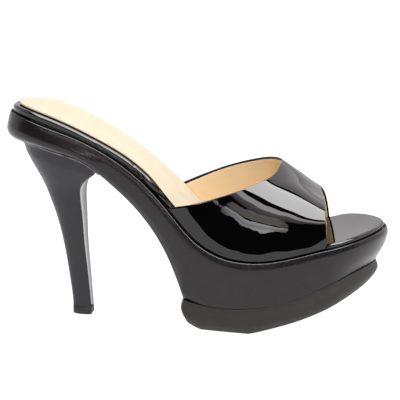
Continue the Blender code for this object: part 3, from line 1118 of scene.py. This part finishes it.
def card(name, corners, height, glow, tint=WHITE):
    """Level card that only gloss mirrors; its glow is a number, or one for each corner."""
    data = bpy.data.meshes.new(name)
    points = [VAMP_CENTRE + Vector((u, v, 1.0)) * height for u, v in corners]
    data.from_pydata(points, [], [tuple(range(len(points)))])
    made = bpy.data.objects.new(name, data)
    paint = Finish(
        name, BLACK, roughness=1.0, specular_ior_level=0.0, emission_color=(*tint, 1.0))
    if np.ndim(glow):
        data.attributes.new("glow", "FLOAT", "POINT").data.foreach_set("value", glow)
        level = paint.node("Attribute")
        level.attribute_name = "glow"
        paint.tree.links.new(level.outputs["Fac"], paint.shader.inputs["Emission Strength"])
    else:
        paint.set("Emission Strength", glow)
    data.materials.append(paint.material)
    made.visible_camera = made.visible_diffuse = made.visible_shadow = False
    bpy.context.collection.objects.link(made)


# Corners of the cards: towards the toe and the inner side, in heights over the vamp's middle
SOFTBOX = [
    (-0.6, -0.48), (-0.22, -0.57), (-0.05, -0.62), (0.12, -0.73), (0.6, -0.80), (1.1, -0.80),
    (1.1, 0.16), (-0.6, 0.30)]
SOFTBOX_BODY = [
    (-0.8, -0.48), (-0.22, -0.57), (0.12, -0.73), (1.3, -0.80), (1.3, 0.27), (-0.8, 0.44)]
CEILING = [(-0.9, -0.3), (1.6, -0.3), (1.6, 2.3), (-0.9, 2.3)]
FRONT_STRIP = [
    (-0.9, -0.68), (-0.3, -0.78), (-0.1, -0.85), (0.3, -0.87), (0.3, -1.12), (-0.25, -1.05),
    (-0.45, -1.0), (-0.9, -0.96)]
FRONT_FADE = [
    (-0.9, -0.96), (-0.45, -1.0), (-0.25, -1.05), (0.3, -1.12), (0.3, -1.4), (-0.9, -1.3)]
FRONT_FADE_GLOW = [1.6, 1.6, 1.6, 1.6, 0.6, 0.6]
HIGH_PATCH = [
    (-0.55, -2.28), (-0.46, -1.75), (-0.52, -1.56), (-0.60, -1.55), (-1.0, -1.75), (-1.6, -2.15),
    (-0.90, -2.18), (-0.77, -2.18), (-0.71, -2.40)]
HIGH_PATCH_GLOW = [1.0, 1.8, 2.2, 2.4, 2.6, 2.2, 2.4, 2.2, 1.4]
LOW_PATCH = [
    (-0.88, -3.40), (-0.68, -2.82), (-0.60, -2.46), (-0.80, -2.38), (-0.93, -2.28), (-2.0, -2.28),
    (-2.0, -3.9), (-1.62, -3.9), (-1.32, -3.27), (-1.09, -2.99), (-0.94, -3.0)]
LOW_PATCH_GLOW = [1.0, 2.4, 4.5, 6.0, 7.0, 7.0, 7.0, 7.0, 6.5, 5.0, 2.6]


def world():
    """Bright behind the object and nearly dark in front of it; the camera itself sees white."""
    made = bpy.data.worlds.new("studio")
    bpy.context.scene.world = made
    made.use_nodes = True
    tree = made.node_tree
    nodes, links = tree.nodes, tree.links
    background = nodes["Background"]

    def math(operation, first, second):
        node = nodes.new("ShaderNodeMath")
        node.operation = operation
        for socket, value in zip(node.inputs, (first, second)):
            if isinstance(value, bpy.types.NodeSocket):
                links.new(value, socket)
            else:
                socket.default_value = value
        return node.outputs[0]

    def step(value, limits):
        node = nodes.new("ShaderNodeMapRange")
        node.interpolation_type = "SMOOTHSTEP"
        links.new(value, node.inputs["Value"])
        for name, limit in zip(("From Min", "From Max"), limits):
            node.inputs[name].default_value = limit
        return node.outputs[0]

    way = nodes.new("ShaderNodeSeparateXYZ")
    links.new(nodes.new("ShaderNodeTexCoord").outputs["Generated"], way.inputs[0])
    _, y, z = way.outputs
    behind = step(math("ADD", y, math("MULTIPLY", z, BACKDROP_LEAN)), BACKDROP_EDGE)
    above = step(z, HORIZON)
    glow = math("MULTIPLY", math("MULTIPLY", behind, above), BACKDROP_GLOW)
    seen = nodes.new("ShaderNodeLightPath").outputs["Is Camera Ray"]
    lit = math("ADD", glow, DARK_SIDE_GLOW)
    strength = math("MAXIMUM", lit, math("MULTIPLY", seen, SEEN_GLOW))
    links.new(strength, background.inputs["Strength"])
    background.inputs["Color"].default_value = (*ROOM_TINT, 1.0)


def camera():
    data = bpy.data.cameras.new("camera")
    data.lens, data.sensor_width = LENS, SENSOR
    made = bpy.data.objects.new("camera", data)
    back = direction(CAMERA_AZIMUTH, CAMERA_ELEVATION)
    made.location = TARGET + back * CAMERA_DISTANCE
    made.rotation_euler = (-back).to_track_quat("-Z", "Y").to_euler()
    bpy.context.collection.objects.link(made)
    bpy.context.scene.camera = made


floor()
world()
card("softbox", SOFTBOX, height=0.9, glow=12.0)
card("softbox_body", SOFTBOX_BODY, height=0.91, glow=0.0)
card("white_ceiling", CEILING, height=0.93, glow=1.65, tint=(1.0, 0.955, 0.965))
card("front_strip", FRONT_STRIP, height=0.9, glow=5.9, tint=STRIP_TINT)
card("front_fade", FRONT_FADE, height=0.9, glow=FRONT_FADE_GLOW, tint=STRIP_TINT)
card("high_patch", HIGH_PATCH, height=0.06, glow=HIGH_PATCH_GLOW, tint=(1.0, 0.92, 0.84))
card("low_patch", LOW_PATCH, height=0.06, glow=LOW_PATCH_GLOW)
fill("fill_top", place=Vector((0.0, 0.1, 1.2)), size=(1.4, 1.4), glow=0.35)
fill("fill_front", place=Vector((0.2, -1.4, 0.9)), size=(1.2, 0.8), glow=4.2, facing=VAMP_CENTRE)
fill("fill_side", place=Vector((0.9, -0.1, 0.8)), size=(0.8, 0.5), glow=2.6, facing=VAMP_CENTRE)
camera()
bpy.context.scene.view_settings.view_transform = "Standard"
